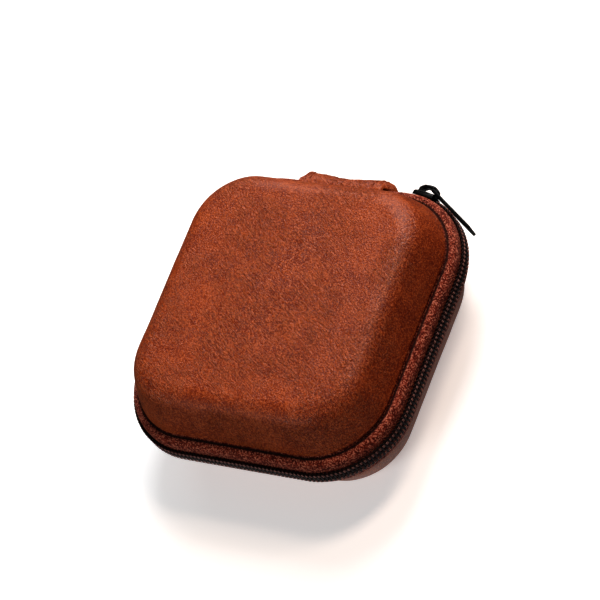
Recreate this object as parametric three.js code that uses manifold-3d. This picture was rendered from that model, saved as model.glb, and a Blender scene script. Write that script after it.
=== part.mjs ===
// A small zip-round clamshell case for earphones: two moulded shells, each a leatherette skin on a foam core
// with a fabric lining, joined by a coil zip round the open sides and by a leatherette gusset at the back.
//
// Units are millimetres, +Z is up. The closed case lies on the flat of its base, with the origin at the middle
// of that flat. The gusset is at the back (+Y), and the slider is parked at the right end of the zip (+X).
// Profiles are written as [r, h]: r is the half width of the case at that point, and h the height above the
// parting plane, where the two halves meet. The base repeats the lid's profiles upside down.
import * as THREE from "three";
import { mergeVertices } from "three/addons/utils/BufferGeometryUtils.js";
import Module from "manifold-3d";

const wasm = await Module();
wasm.setup();

// ---- Driving dimensions ----
const HALF_HEIGHT = 17.5; // from the parting plane to the flat of each shell
const CORNER_CENTRE = 18.5; // every outline's corner arcs turn about the points (+-18.5, +-18.5)
const CORNER_STEPS = 6;

const LIP_R = 37; // the shell's half width at its open edge
const LIP_H = 5.4;
const WALL_DRAFT = 0.35; // the wall leans in by this much for each millimetre of height
const FILLET = 7.3; // outside radius between the wall and the flat
const FILLET_STEPS = 4;

const SKIN = [0, 0.7]; // each layer's outer and inner depth below the outside surface
const CORE = [0.85, 2.85];
const LINING = [3.0, 3.5];
const BINDING = [3.65, 4.25];
const BINDING_H = [4.3, 9];

const TAPE_R = 39.05; // middle of the zip tape where it stands upright
const TAPE_THICKNESS = 0.7;
const CHAIN_EDGE_H = 0.75; // each half of the chain starts here, so the slider's neck passes between them
const COIL_H = 2;
const COIL_R = [39.5, 40.4];

const GUSSET_X = [-15, 13.5]; // where the gusset lies along the back
const GUSSET_R = 42.7; // its crest
const HINGE_R = 43.1; // the fold the lid turns about
const HINGE_H = -1.5;
const END_GAP = 0.3;

const SLIDER_ANGLE = THREE.MathUtils.degToRad(7.5); // how far round the back right corner the slider is parked
const SLIDER_LENGTH = 6.7;
const SLIDER_HALF_WIDTH = 2.6;
const FRONT_PLATE_R = [40.65, 41.3];
const BACK_PLATE_R = [36.9, 38];
const BACK_PLATE_HALF_WIDTH = 2.3;
const NECK_HALF_WIDTH = 0.4;
const CROWN_HALF_WIDTH = 0.9;
const PIVOT = [1.7, 42.6]; // the puller's pivot: along the slider, and its r
const PULLER_LENGTH = 17.5;
const PULLER_THICKNESS = 0.8;
const PULLER_ANGLE = THREE.MathUtils.degToRad(-25.5); // from the slider's own direction, in towards the case

const POCKET_H = [5.2, 5.8];
const POCKET_R = 31.6;
const POCKET_EDGE_Y = 2;
const ELASTIC_WIDTH = 5;
const ELASTIC_H = [5, 6];

// ---- Materials ----
const surface = (color, roughness, metalness = 0) =>
  new THREE.MeshStandardMaterial({ color, roughness, metalness });
const leather = surface(0x8e3f20, 0.45);
const foam = surface(0x2a2a2c, 0.9);
const liningFabric = surface(0x1d1d20, 0.95);
const tapeFabric = surface(0x7c3524, 0.85);
const coilNylon = surface(0x2c1612, 0.5);
const ribbon = surface(0x1a1a1c, 0.9);
const blackMetal = surface(0x101012, 0.35, 0.6);

// ---- The outline that every ring of the case follows ----
// Stations clockwise from above, starting at the back right corner; each has a corner centre and a direction.
function cornerStations(corner) {
  const stations = [];
  for (let i = 0; i <= CORNER_STEPS; i++) {
    stations.push(station(corner, (90 * i) / CORNER_STEPS));
  }
  return stations;
}

// One station on a corner's arc, some degrees round it. Corner 0 is the back right one, and they go clockwise.
function station(corner, degrees) {
  const angle = THREE.MathUtils.degToRad(corner * 90 + degrees);
  const side = THREE.MathUtils.degToRad(corner * 90 + 45);
  const centre = CORNER_CENTRE * Math.SQRT2;
  return {
    centre: new THREE.Vector2(Math.sin(side) * centre, Math.cos(side) * centre),
    normal: new THREE.Vector2(Math.sin(angle), Math.cos(angle)),
  };
}

// A station on the straight back side, at a given x.
const backStation = (x) => ({
  centre: new THREE.Vector2(x, CORNER_CENTRE),
  normal: new THREE.Vector2(0, 1),
});

const wholeOutline = [0, 1, 2, 3].flatMap(cornerStations);

// The zip runs from the gusset's right end, round three sides, to its left end.
const zipPath = [
  backStation(GUSSET_X[1] + END_GAP),
  ...wholeOutline,
  backStation(GUSSET_X[0] - END_GAP),
];

function pointAt({ centre, normal }, [r, h]) {
  const reach = r - CORNER_CENTRE;
  return new THREE.Vector3(centre.x + normal.x * reach, centre.y + normal.y * reach, HALF_HEIGHT + h);
}

// ---- Making closed meshes ----
function meshFromTriangles(points, triangles) {
  const geometry = new THREE.BufferGeometry().setFromPoints(points);
  geometry.setIndex(triangles.flat());
  return geometry;
}

// Joins each ring of points to the next with two triangles a side.
function bandTriangles(rings, count, wrapRings, wrapPoints) {
  const triangles = [];
  const lastRing = wrapRings ? rings : rings - 1;
  const lastPoint = wrapPoints ? count : count - 1;
  for (let i = 0; i < lastRing; i++) {
    for (let j = 0; j < lastPoint; j++) {
      const a = i * count + j;
      const b = i * count + ((j + 1) % count);
      const c = ((i + 1) % rings) * count + j;
      const d = ((i + 1) % rings) * count + ((j + 1) % count);
      triangles.push([a, c, b], [b, c, d]);
    }
  }
  return triangles;
}

// A closed profile swept along stations; an open path gets flat ends.
function sweep(profile, path, closed) {
  const points = path.flatMap((s) => profile.map((p) => pointAt(s, p)));
  const count = profile.length;
  const triangles = bandTriangles(path.length, count, closed, true);
  if (!closed) {
    const outline = profile.map(([r, h]) => new THREE.Vector2(r, h));
    const caps = THREE.ShapeUtils.triangulateShape(outline, []);
    const turned = THREE.ShapeUtils.isClockWise(outline);
    const last = (path.length - 1) * count;
    for (const [a, b, c] of caps) {
      triangles.push(turned ? [a, c, b] : [a, b, c]);
      triangles.push(turned ? [last + a, last + b, last + c] : [last + a, last + c, last + b]);
    }
  }
  return facingOut(meshFromTriangles(points, triangles));
}

// A dome: rings from the middle of the outside, down to the lip, and up the inside to its middle.
function dome(outside, inside) {
  const profile = [...outside, ...[...inside].reverse()];
  const count = wholeOutline.length;
  const points = profile.flatMap((p) => wholeOutline.map((s) => pointAt(s, p)));
  const triangles = bandTriangles(profile.length, count, false, true);
  const outer = points.push(new THREE.Vector3(0, 0, HALF_HEIGHT + outside[0][1])) - 1;
  const inner = points.push(new THREE.Vector3(0, 0, HALF_HEIGHT + inside[0][1])) - 1;
  const last = (profile.length - 1) * count;
  for (let j = 0; j < count; j++) {
    const next = (j + 1) % count;
    triangles.push([outer, j, next], [inner, last + next, last + j]);
  }
  return facingOut(meshFromTriangles(points, triangles));
}

// Turns the faces round if the enclosed volume comes out negative.
function facingOut(geometry) {
  const position = geometry.getAttribute("position");
  const index = geometry.getIndex().array;
  const corner = [new THREE.Vector3(), new THREE.Vector3(), new THREE.Vector3()];
  let volume = 0;
  for (let i = 0; i < index.length; i += 3) {
    corner.forEach((v, k) => v.fromBufferAttribute(position, index[i + k]));
    volume += corner[0].dot(corner[1].cross(corner[2]));
  }
  if (volume < 0) {
    for (let i = 0; i < index.length; i += 3) [index[i], index[i + 1]] = [index[i + 1], index[i]];
  }
  return geometry;
}

// ---- Booleans ----
function solidFrom(geometry) {
  const plain = geometry.clone();
  plain.deleteAttribute("normal");
  plain.deleteAttribute("uv");
  const merged = mergeVertices(plain, 1e-4);
  return new wasm.Manifold(
    new wasm.Mesh({
      numProp: 3,
      vertProperties: new Float32Array(merged.attributes.position.array),
      triVerts: new Uint32Array(merged.index.array),
    }),
  );
}

function geometryFrom(solid) {
  const mesh = solid.getMesh();
  const geometry = new THREE.BufferGeometry();
  geometry.setAttribute("position", new THREE.BufferAttribute(mesh.vertProperties, 3));
  geometry.setIndex(new THREE.BufferAttribute(mesh.triVerts, 1));
  return geometry;
}

const cut = (geometry, tool) => geometryFrom(solidFrom(geometry).subtract(solidFrom(tool)));
const keep = (geometry, tool) => geometryFrom(solidFrom(geometry).intersect(solidFrom(tool)));
const join = (...parts) => geometryFrom(parts.map(solidFrom).reduce((a, b) => a.add(b)));

function box([x0, x1], [y0, y1], [z0, z1]) {
  const geometry = new THREE.BoxGeometry(x1 - x0, y1 - y0, z1 - z0);
  return geometry.translate((x0 + x1) / 2, (y0 + y1) / 2, (z0 + z1) / 2);
}

// ---- Profiles of the shells ----
const DRAFT_ANGLE = Math.atan(WALL_DRAFT);
const wallR = (h, depth) => LIP_R - WALL_DRAFT * (h - LIP_H) - depth / Math.cos(DRAFT_ANGLE);
const FILLET_TOP_H = HALF_HEIGHT - FILLET + FILLET * Math.sin(DRAFT_ANGLE);
const FLAT_R = wallR(FILLET_TOP_H, 0) - FILLET * Math.cos(DRAFT_ANGLE);

// The surface a given depth inside the shell, from the edge of the flat down to the lip.
function shellProfile(depth) {
  const radius = FILLET - depth;
  const profile = [];
  for (let i = 0; i <= FILLET_STEPS; i++) {
    const angle = Math.PI / 2 - ((Math.PI / 2 - DRAFT_ANGLE) * i) / FILLET_STEPS;
    profile.push([
      FLAT_R + radius * Math.cos(angle),
      HALF_HEIGHT - FILLET + radius * Math.sin(angle),
    ]);
  }
  profile.push([wallR(LIP_H, depth), LIP_H]);
  return profile;
}

const layer = ([outer, inner]) => dome(shellProfile(outer), shellProfile(inner));

const bindingProfile = [
  [wallR(BINDING_H[0], BINDING[0]), BINDING_H[0]],
  [wallR(BINDING_H[1], BINDING[0]), BINDING_H[1]],
  [wallR(BINDING_H[1], BINDING[1]), BINDING_H[1]],
  [wallR(BINDING_H[0], BINDING[1]), BINDING_H[0]],
];

// ---- Zip ----
// The tape stands upright beside the chain, rolls in over a shoulder and is sewn under the shell's lip.
const SEAM_H = [4.4, 5.1];
const SEAM_R = 33.7;
const tapeFace = TAPE_R + TAPE_THICKNESS / 2;
const tapeBack = TAPE_R - TAPE_THICKNESS / 2;
const tapeProfile = [
  [tapeFace, CHAIN_EDGE_H],
  [tapeFace, 2.6],
  [38.9, 3.8],
  [38, 4.7],
  [LIP_R, SEAM_H[1]],
  [SEAM_R, SEAM_H[1]],
  [SEAM_R, SEAM_H[0]],
  [36.8, SEAM_H[0]],
  [37.6, 3.9],
  [38.3, 3.2],
  [tapeBack, 2.4],
  [tapeBack, CHAIN_EDGE_H],
];
const coilProfile = [
  [COIL_R[0], CHAIN_EDGE_H],
  [COIL_R[1] - 0.3, CHAIN_EDGE_H],
  [COIL_R[1], CHAIN_EDGE_H + 0.4],
  [COIL_R[1], COIL_H - 0.4],
  [COIL_R[1] - 0.3, COIL_H],
  [COIL_R[0], COIL_H],
];

// The lid's half of the chain leaves room for the parked slider, so that the lid can turn past it.
const PARKED_TO = 18.5; // degrees round the corner
const PARKED_H = 3.2;
const coilPathOnLid = [
  station(0, PARKED_TO),
  ...wholeOutline.slice(2),
  backStation(GUSSET_X[0] - END_GAP),
];
const parkingProfile = [
  [36, 0],
  [44, 0],
  [44, PARKED_H],
  [36, PARKED_H],
];
const parkingPath = [
  backStation(GUSSET_X[1] - 1),
  station(0, 0),
  station(0, 11),
  station(0, PARKED_TO),
];

// ---- Gusset ----
// One strip on the real case. It is carried as two halves that meet on the fold, because each half turns with
// its own shell.
const gussetOutside = [
  [SEAM_R, SEAM_H[1]],
  [37.2, SEAM_H[1]],
  [38.9, 4.9],
  [40.3, 4.1],
  [41.6, 2.9],
  [42.4, 1.5],
  [GUSSET_R, 0],
  [42.4, -1.5],
  [41.6, -2.9],
  [40.3, -4.1],
  [38.9, -4.9],
  [37.2, -SEAM_H[1]],
  [SEAM_R, -SEAM_H[1]],
];
const gussetInside = [
  [SEAM_R, -SEAM_H[0]],
  [37, -SEAM_H[0]],
  [38.5, -4.2],
  [39.8, -3.5],
  [40.9, -2.4],
  [41.6, -1.2],
  [GUSSET_R - 0.8, 0],
  [41.6, 1.2],
  [40.9, 2.4],
  [39.8, 3.5],
  [38.5, 4.2],
  [37, SEAM_H[0]],
  [SEAM_R, SEAM_H[0]],
];
const gussetPath = [backStation(GUSSET_X[0]), backStation(GUSSET_X[1])];
const gussetStrip = sweep([...gussetOutside, ...gussetInside], gussetPath, false);
const gussetLining = box(
  [GUSSET_X[0] + 1, GUSSET_X[1] - 1],
  [37, 37.5],
  [HALF_HEIGHT - 4.1, HALF_HEIGHT + 4.1],
);
const FOLD_GAP = 0.15;
const reach = [-60, 60];
const aboveFold = box(reach, reach, [HALF_HEIGHT + HINGE_H + FOLD_GAP, 60]);
const belowFold = box(reach, reach, [-60, HALF_HEIGHT + HINGE_H - FOLD_GAP]);

// ---- Net pocket in the lid ----
const pocketSheet = keep(
  sweep(
    [
      [CORNER_CENTRE + 0.01, POCKET_H[0]],
      [POCKET_R, POCKET_H[0]],
      [POCKET_R, POCKET_H[1]],
      [CORNER_CENTRE + 0.01, POCKET_H[1]],
    ],
    wholeOutline,
    true,
  ),
  box(reach, [-60, POCKET_EDGE_Y], reach),
);
const pocketMiddle = box(
  [-CORNER_CENTRE - 0.5, CORNER_CENTRE + 0.5],
  [-CORNER_CENTRE - 0.5, POCKET_EDGE_Y],
  POCKET_H.map((h) => HALF_HEIGHT + h),
);
const elasticBand = box(
  [-POCKET_R, POCKET_R],
  [POCKET_EDGE_Y + END_GAP, POCKET_EDGE_Y + END_GAP + ELASTIC_WIDTH],
  ELASTIC_H.map((h) => HALF_HEIGHT + h),
);

// ---- Slider and puller ----
// They are drawn with x along the slider, y outwards as r, and z across it, then turned into place.
function plate([x0, x1], rRange, halfWidth) {
  return box([x0, x1], rRange, [-halfWidth, halfWidth]);
}

function sliderBody() {
  const half = SLIDER_LENGTH / 2;
  const flangeR = [39.9, FRONT_PLATE_R[0] + 0.2];
  const flange = (side) => {
    const inner = SLIDER_HALF_WIDTH - 0.5;
    const z = side > 0 ? [inner, SLIDER_HALF_WIDTH] : [-SLIDER_HALF_WIDTH, -inner];
    return box([-half, half], flangeR, z);
  };
  return join(
    plate([-half, half], FRONT_PLATE_R, SLIDER_HALF_WIDTH),
    plate([-half, half], BACK_PLATE_R, BACK_PLATE_HALF_WIDTH),
    plate([-half, -half + 1.8], [BACK_PLATE_R[0] + 0.3, FRONT_PLATE_R[0] + 0.3], NECK_HALF_WIDTH),
    flange(1),
    flange(-1),
  );
}

// The bridge over the front plate that the puller hangs on.
function sliderCrown() {
  const foot = FRONT_PLATE_R[1] + 0.05;
  const arch = new THREE.Shape([
    [-2.9, foot],
    [-2.6, 43.1],
    [-1.6, 43.8],
    [0.2, 44],
    [1.8, 43.85],
    [2.75, 43.3],
    [3.1, foot],
    [2.35, foot],
    [2.35, 43],
    [1.9, 43.2],
    [-0.8, 43.2],
    [-1.5, 42.8],
    [-1.6, foot],
  ].map(([x, r]) => new THREE.Vector2(x, r)));
  const geometry = new THREE.ExtrudeGeometry(arch, { depth: 2 * CROWN_HALF_WIDTH, bevelEnabled: false });
  return geometry.translate(0, 0, -CROWN_HALF_WIDTH);
}

// A flat tab with a window at its near end; the bar that closes the window is what runs under the crown.
function pullerTab() {
  const outline = new THREE.Shape();
  const neck = 1.9;
  const tip = 2.3;
  outline.moveTo(-0.4, -neck);
  outline.lineTo(8, -neck);
  outline.lineTo(PULLER_LENGTH - 1, -tip);
  outline.quadraticCurveTo(PULLER_LENGTH, -tip, PULLER_LENGTH, -tip + 1);
  outline.lineTo(PULLER_LENGTH, tip - 1);
  outline.quadraticCurveTo(PULLER_LENGTH, tip, PULLER_LENGTH - 1, tip);
  outline.lineTo(8, neck);
  outline.lineTo(-0.4, neck);
  const window = new THREE.Path();
  window.moveTo(0.4, -1.2);
  window.lineTo(0.4, 1.2);
  window.lineTo(4.7, 1.2);
  window.lineTo(4.7, -1.2);
  outline.holes.push(window);
  const settings = { depth: PULLER_THICKNESS, bevelEnabled: false, curveSegments: 3 };
  const geometry = new THREE.ExtrudeGeometry(outline, settings);
  return geometry.translate(0, 0, -PULLER_THICKNESS / 2).rotateX(Math.PI / 2);
}

// ---- Assembly ----
const part = new THREE.Group();

function add(name, geometry, material, parent = part) {
  const mesh = new THREE.Mesh(geometry, material);
  mesh.name = name;
  parent.add(mesh);
  return mesh;
}

// The base's copy of a lid piece: the same shape upside down about the parting plane.
function mirrored(geometry) {
  const turned = geometry.clone().translate(0, 0, -HALF_HEIGHT).scale(1, 1, -1).translate(0, 0, HALF_HEIGHT);
  if (!turned.index) turned.setIndex([...Array(turned.attributes.position.count).keys()]);
  return facingOut(turned);
}

const shellLayers = [
  ["skin", SKIN, leather],
  ["core", CORE, foam],
  ["lining", LINING, liningFabric],
];
for (const [name, depths, material] of shellLayers) {
  const shell = layer(depths);
  add("lid_" + name, shell, material);
  add("base_" + name, mirrored(shell), material);
}

const binding = sweep(bindingProfile, wholeOutline, true);
add("lid_rim_binding", binding, ribbon);
add("base_rim_binding", mirrored(binding), ribbon);

const tape = sweep(tapeProfile, zipPath, false);
add("lid_zipper_tape", cut(tape, sweep(parkingProfile, parkingPath, false)), tapeFabric);
add("base_zipper_tape", mirrored(tape), tapeFabric);
add("lid_zipper_coil", sweep(coilProfile, coilPathOnLid, false), coilNylon);
add("base_zipper_coil", mirrored(sweep(coilProfile, zipPath, false)), coilNylon);

add("hinge_gusset_lid", keep(gussetStrip, aboveFold), leather);
add("hinge_gusset_base", keep(gussetStrip, belowFold), leather);
add("hinge_lining_lid", keep(gussetLining, aboveFold), liningFabric);
add("hinge_lining_base", keep(gussetLining, belowFold), liningFabric);

add("mesh_pocket", join(pocketSheet, pocketMiddle), liningFabric);
add("pocket_elastic", elasticBand, ribbon);

// The slider turns about the back right corner's centre, so its group stands there.
const slider = new THREE.Group();
slider.position.set(CORNER_CENTRE, CORNER_CENTRE, HALF_HEIGHT);
slider.rotation.z = -SLIDER_ANGLE;
part.add(slider);
const sliderFrame = new THREE.Group();
sliderFrame.position.y = -CORNER_CENTRE;
slider.add(sliderFrame);
add("slider_body", sliderBody(), blackMetal, sliderFrame);
add("slider_crown", sliderCrown(), blackMetal, sliderFrame);
const puller = add("puller_tab", pullerTab(), blackMetal, sliderFrame);
puller.position.set(PIVOT[0], PIVOT[1], 0);
puller.rotation.z = PULLER_ANGLE;

export default part;
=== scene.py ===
"""Looks for a small zip-round earphone case: moulded leatherette shells, woven zip tape, nylon coil chain,
gusset hinge, net pocket and an enamelled slider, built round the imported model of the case."""

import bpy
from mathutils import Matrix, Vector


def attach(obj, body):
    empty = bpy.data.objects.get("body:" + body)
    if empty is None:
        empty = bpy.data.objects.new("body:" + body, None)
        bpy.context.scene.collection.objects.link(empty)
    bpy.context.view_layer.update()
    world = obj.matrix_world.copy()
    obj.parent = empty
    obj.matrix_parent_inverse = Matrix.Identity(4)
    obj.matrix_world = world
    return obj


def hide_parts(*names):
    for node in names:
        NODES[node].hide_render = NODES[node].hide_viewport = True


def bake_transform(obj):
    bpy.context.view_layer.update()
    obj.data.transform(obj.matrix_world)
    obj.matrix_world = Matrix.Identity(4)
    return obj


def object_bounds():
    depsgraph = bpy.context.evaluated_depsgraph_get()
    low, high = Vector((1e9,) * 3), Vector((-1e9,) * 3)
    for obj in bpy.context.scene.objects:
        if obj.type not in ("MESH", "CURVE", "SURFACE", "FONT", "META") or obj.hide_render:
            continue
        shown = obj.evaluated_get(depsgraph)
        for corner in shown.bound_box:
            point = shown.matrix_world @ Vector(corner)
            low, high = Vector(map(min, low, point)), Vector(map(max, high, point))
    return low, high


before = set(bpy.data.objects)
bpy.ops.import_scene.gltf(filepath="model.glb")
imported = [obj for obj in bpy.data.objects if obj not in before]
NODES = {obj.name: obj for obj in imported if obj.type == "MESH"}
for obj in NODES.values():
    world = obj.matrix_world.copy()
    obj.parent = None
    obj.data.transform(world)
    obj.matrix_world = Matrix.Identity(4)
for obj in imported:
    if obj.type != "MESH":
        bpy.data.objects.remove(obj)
CAD_BOX = [list(corner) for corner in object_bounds()]

import math

import bmesh
import bpy
import numpy as np
from bpy.props import (
    FloatProperty,
    FloatVectorProperty,
    IntProperty,
    PointerProperty,
)
from mathutils import Matrix, Vector, noise

bl_info = {
    "name": "Zip-round earphone case",
    "version": (1, 0, 0),
    "blender": (4, 5, 0),
    "location": "3D View > Sidebar > Earphone case",
    "description": "Builds the leatherette, lining, zip, gusset, pocket and slider of a clamshell case",
    "category": "Object",
}

MM = 0.001

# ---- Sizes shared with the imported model, in millimetres; heights are above the parting plane ----
HALF = CAD_BOX[1][2] / 2 / MM
CORNER = 18.5  # the outline's corner arcs turn about (+-18.5, +-18.5)
TRACK_R = 40.0  # lengths along the outline are measured at this half width
LIP_R, LIP_H, DRAFT, FILLET = 37.0, 5.4, 0.35, 7.3
GUSSET_X = (-15.0, 13.5)
PARKED_X = (17.4, 25.2)  # the slider's place, as lengths along the outline
SLIDER_TURN = math.radians(7.5)
PIVOT = (1.7, 42.6)
TAB_TURN = math.radians(-25.5)
SIDE = 2 * CORNER
ARC = math.pi / 2 * (TRACK_R - CORNER)
AROUND = 4 * (SIDE + ARC)
BACK_LEFT = AROUND + GUSSET_X[0]  # where the zip ends, along the outline
LID, BASE = 1, -1
BODY = {LID: "lid", BASE: "base"}


# ---- The outline ----
def track(s):
    """Corner centres and outward directions at lengths s, clockwise from the middle of the back."""
    t = (np.asarray(s, float) + CORNER) % AROUND
    quarter = np.floor(t / (SIDE + ARC))
    along = t - quarter * (SIDE + ARC)
    base_angle = quarter * math.pi / 2
    ahead = np.stack([np.cos(base_angle), -np.sin(base_angle)], -1)
    out = np.stack([np.sin(base_angle), np.cos(base_angle)], -1)
    centre = out * CORNER + ahead * (np.minimum(along, SIDE) - CORNER)[..., None]
    angle = base_angle + np.maximum(along - SIDE, 0) / (TRACK_R - CORNER)
    return centre, np.stack([np.sin(angle), np.cos(angle)], -1)


def places(s, r, h, side=LID):
    """Points on the outline at half width r and height h, in millimetres in the row's frame."""
    centre, out = track(s)
    xy = centre + out * (np.asarray(r, float) - CORNER)[..., None]
    z = HALF + side * np.broadcast_to(h, xy.shape[:-1])
    return np.concatenate([xy, z[..., None]], -1)


def smooth_line(points, count):
    """A Catmull-Rom line through points, resampled evenly to count points."""
    p = np.asarray(points, float)
    q = np.vstack([2 * p[0] - p[1], p, 2 * p[-1] - p[-2]])
    t = np.linspace(0, 1, 12, endpoint=False)[:, None]
    fine = []
    for a, b, c, d in zip(q, q[1:], q[2:], q[3:]):
        fine.append(
            0.5 * (2 * b + (c - a) * t + (2 * a - 5 * b + 4 * c - d) * t**2 + (3 * b - a - 3 * c + d) * t**3)
        )
    fine = np.vstack(fine + [p[-1:]])
    length = np.concatenate([[0], np.cumsum(np.linalg.norm(np.diff(fine, axis=0), axis=1))])
    at = np.linspace(0, length[-1], count)
    return np.stack([np.interp(at, length, fine[:, k]) for k in range(fine.shape[1])], -1)


def wall_r(h, depth=0.0):
    return LIP_R - DRAFT * (h - LIP_H) - depth * math.hypot(1, DRAFT)


def shell_line(depth, low_h, steps, crown=0.3):
    """One layer's line (r, h, share) from its low edge up the wall, over the fillet and in to the middle."""
    tilt = math.atan(DRAFT)
    top_h = HALF - FILLET + FILLET * math.sin(tilt)
    flat_r = wall_r(top_h) - FILLET * math.cos(tilt)
    line = []
    for h in np.linspace(low_h, top_h - 0.4, steps, endpoint=False):
        belly = 0.18 * math.sin(math.pi * (h - low_h) / (top_h - low_h))
        line.append((wall_r(h, depth) + belly, h, 1.0))
    for angle in np.linspace(tilt, math.pi / 2, steps + 4, endpoint=False):
        turn = FILLET - depth
        h = HALF - FILLET + turn * math.sin(angle)
        sunk = crown * ((angle - tilt) / (math.pi / 2 - tilt)) ** 2
        line.append((flat_r + turn * math.cos(angle), h - sunk, 1.0))
    for share in np.linspace(1, 0.04, steps * 2):
        line.append((flat_r, HALF - depth - crown * share**2, share))
    return line


# ---- Meshes ----
def new_object(name, verts, faces, material, uv=None, smooth=True):
    """A mesh object at the origin, from millimetres in the row's frame, with its faces turned outwards."""
    mesh = bpy.data.meshes.new(name)
    mesh.from_pydata((np.asarray(verts, float) * MM).tolist(), [], [list(f) for f in faces])
    if uv is not None:
        layer = mesh.uv_layers.new(name="UVMap")
        corners = np.array([i for f in faces for i in f])
        layer.data.foreach_set("uv", np.asarray(uv, np.float32)[corners].ravel())
    shape = bmesh.new()
    shape.from_mesh(mesh)
    bmesh.ops.recalc_face_normals(shape, faces=shape.faces)
    shape.to_mesh(mesh)
    shape.free()
    mesh.polygons.foreach_set("use_smooth", [smooth] * len(mesh.polygons))
    mesh.materials.append(material)
    obj = bpy.data.objects.new(name, mesh)
    bpy.context.scene.collection.objects.link(obj)
    return obj


def grid_faces(rows, columns, wrap_rows, wrap_columns):
    faces = []
    for i in range(rows if wrap_rows else rows - 1):
        for j in range(columns if wrap_columns else columns - 1):
            i2, j2 = (i + 1) % rows, (j + 1) % columns
            faces.append((i * columns + j, i * columns + j2, i2 * columns + j2, i2 * columns + j))
    return faces


def dome(name, outer, inner, side, material, ripple=0.0):
    """A closed shell from its outer line (from the low edge to the middle) and its inner line."""
    line = list(outer)[::-1] + list(inner)
    count = 240
    s = np.arange(count) / count * AROUND
    rings = []
    for r, h, share in line:
        ring = places(s, np.full(count, r), h, side)
        ring[:, :2] *= share
        rings.append(ring)
    crowns = [[[0, 0, HALF + side * layer[-1][1]]] for layer in (outer, inner)]
    verts = np.concatenate(rings + crowns)
    top, bottom, last = len(verts) - 2, len(verts) - 1, (len(line) - 1) * count
    faces = grid_faces(len(line), count, False, True)
    for j in range(count):
        k = (j + 1) % count
        faces.append((top, k, j))
        faces.append((bottom, last + j, last + k))
    if ripple:
        middle = np.array([0, 0, HALF])
        for i, p in enumerate(verts):
            wobble = noise.noise(Vector(p * 0.07)) + 0.35 * noise.noise(Vector(p * 0.21))
            verts[i] = p + (p - middle) / (np.linalg.norm(p - middle) + 1) * wobble * ripple
    return new_object(name, verts, faces, material)


def sweep(name, line, s, side, material, closed=False, warp=None):
    """A closed profile line (r, h) carried along the outline, UVs in millimetres; open runs get caps."""
    line = np.asarray(line, float)
    count = len(line)
    around = np.concatenate([[0], np.cumsum(np.linalg.norm(np.diff(line, axis=0), axis=1))])
    verts, uv = [], []
    for value in s:
        ring = places(np.full(count, value), line[:, 0], line[:, 1], side)
        verts.append(ring if warp is None else warp(ring, value))
        uv.append(np.stack([np.full(count, value), around], -1))
    verts, uv = np.concatenate(verts), np.concatenate(uv)
    faces = grid_faces(len(s), count, closed, True)
    if not closed:
        faces.append(tuple(range(count)))
        faces.append(tuple((len(s) - 1) * count + i for i in range(count)[::-1]))
    return new_object(name, verts, faces, material, uv)


def ribbon_line(middle, thickness, count):
    """A closed profile round a middle line (r, h), with rounded edges."""
    p = smooth_line(middle, count)
    ahead = np.gradient(p, axis=0)
    ahead /= np.linalg.norm(ahead, axis=1)[:, None]
    across = np.stack([-ahead[:, 1], ahead[:, 0]], -1) * thickness / 2
    across[[0, -1]] *= 0.45
    ends = p[[0, -1]] + np.array([-ahead[0], ahead[-1]]) * thickness * 0.3
    return np.vstack([ends[:1], p + across, ends[1:], (p - across)[::-1]])


def tube(points, radii, sides=6):
    """Vertices and faces of a round bar through points, its ends drawn in to flat caps."""
    p = np.asarray(points, float)
    radii = np.broadcast_to(radii, len(p))
    ahead = np.gradient(p, axis=0)
    ahead /= np.linalg.norm(ahead, axis=1)[:, None]
    up = np.cross(ahead[0], [0.3, 0.9, 0.1])
    verts = []
    for point, direction, radius in zip(p, ahead, radii):
        up = up - direction * up.dot(direction)
        up /= np.linalg.norm(up)
        beside = np.cross(direction, up)
        for k in range(sides):
            a = 2 * math.pi * k / sides
            verts.append(point + radius * (math.cos(a) * up + math.sin(a) * beside))
    faces = grid_faces(len(p), sides, False, True)
    faces += [tuple(range(sides))[::-1], tuple((len(p) - 1) * sides + k for k in range(sides))]
    return np.array(verts), faces


def plates(name, loops, material, side_matrix):
    """Flat plates from outlines: each is (loops, low, high, bevel), drawn in x and y and lifted along z."""
    parts = []
    for outlines, low, high, bevel in loops:
        curve = bpy.data.curves.new(name, "CURVE")
        curve.dimensions, curve.fill_mode = "2D", "BOTH"
        curve.extrude, curve.bevel_depth = (high - low) / 2 - bevel, bevel
        curve.bevel_resolution, curve.offset = 3, -bevel
        for outline in outlines:
            spline = curve.splines.new("POLY")
            spline.points.add(len(outline) - 1)
            spline.points.foreach_set("co", [v for x, y in outline for v in (x, y, 0, 1)])
            spline.use_cyclic_u = True
        holder = bpy.data.objects.new(name, curve)
        bpy.context.scene.collection.objects.link(holder)
        mesh = bpy.data.meshes.new_from_object(holder.evaluated_get(bpy.context.evaluated_depsgraph_get()))
        mesh.transform(side_matrix @ Matrix.Translation((0, 0, (low + high) / 2)))
        parts.append(mesh)
        bpy.data.objects.remove(holder)
    shape = bmesh.new()
    for mesh in parts:
        shape.from_mesh(mesh)
        bpy.data.meshes.remove(mesh)
    bmesh.ops.remove_doubles(shape, verts=shape.verts, dist=1e-4)
    bmesh.ops.recalc_face_normals(shape, faces=shape.faces)
    bmesh.ops.scale(shape, vec=(MM,) * 3, verts=shape.verts)
    mesh = bpy.data.meshes.new(name)
    shape.to_mesh(mesh)
    shape.free()
    mesh.polygons.foreach_set("use_smooth", [True] * len(mesh.polygons))
    mesh.set_sharp_from_angle(angle=math.radians(38))
    mesh.materials.append(material)
    obj = bpy.data.objects.new(name, mesh)
    bpy.context.scene.collection.objects.link(obj)
    return obj


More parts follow.
